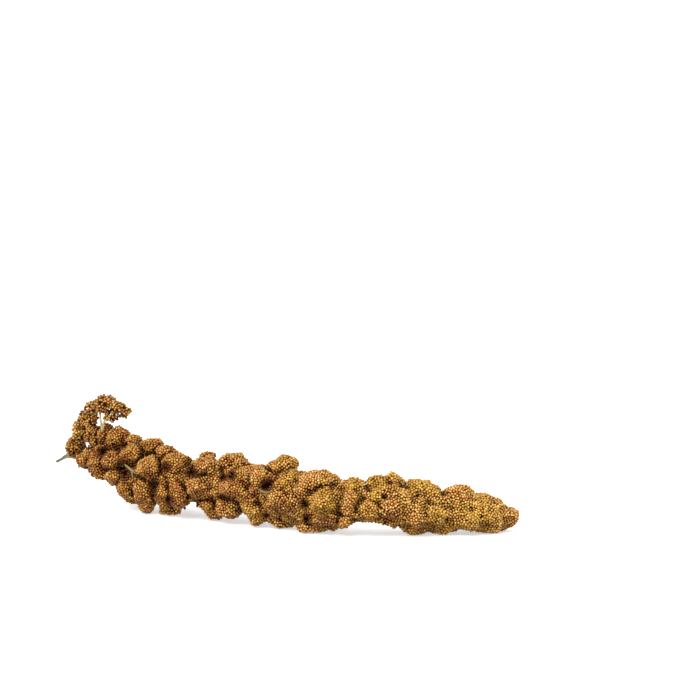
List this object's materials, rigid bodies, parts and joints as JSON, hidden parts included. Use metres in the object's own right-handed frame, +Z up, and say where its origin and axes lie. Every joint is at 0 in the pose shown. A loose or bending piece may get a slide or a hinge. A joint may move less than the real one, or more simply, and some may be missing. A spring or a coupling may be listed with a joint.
{
  "type": "millet seed head",
  "caption": "Ripe foxtail millet seed head, cut and dried, lying on its side: a lobed golden grain spike with a raised side branch and a short forked stalk.",
  "frame": {"origin": "on the surface the head lies on, under the middle of its bounding box", "axes": "+X from the cut stalk towards the tip, +Z up, -Y towards the front that faces the viewer"},
  "size_m": [0.2565, 0.1135, 0.0624],
  "materials": {
    "grain": "satin, smooth husks in golden ochre, lighter and browner from grain to grain",
    "stalk": "matt dry straw, olive at the cut end and paler towards the grain"
  },
  "bodies": {
    "root": {"seed_head": "grain", "stalk": "stalk", "branchlet": "stalk"}
  },
  "joints": []
}
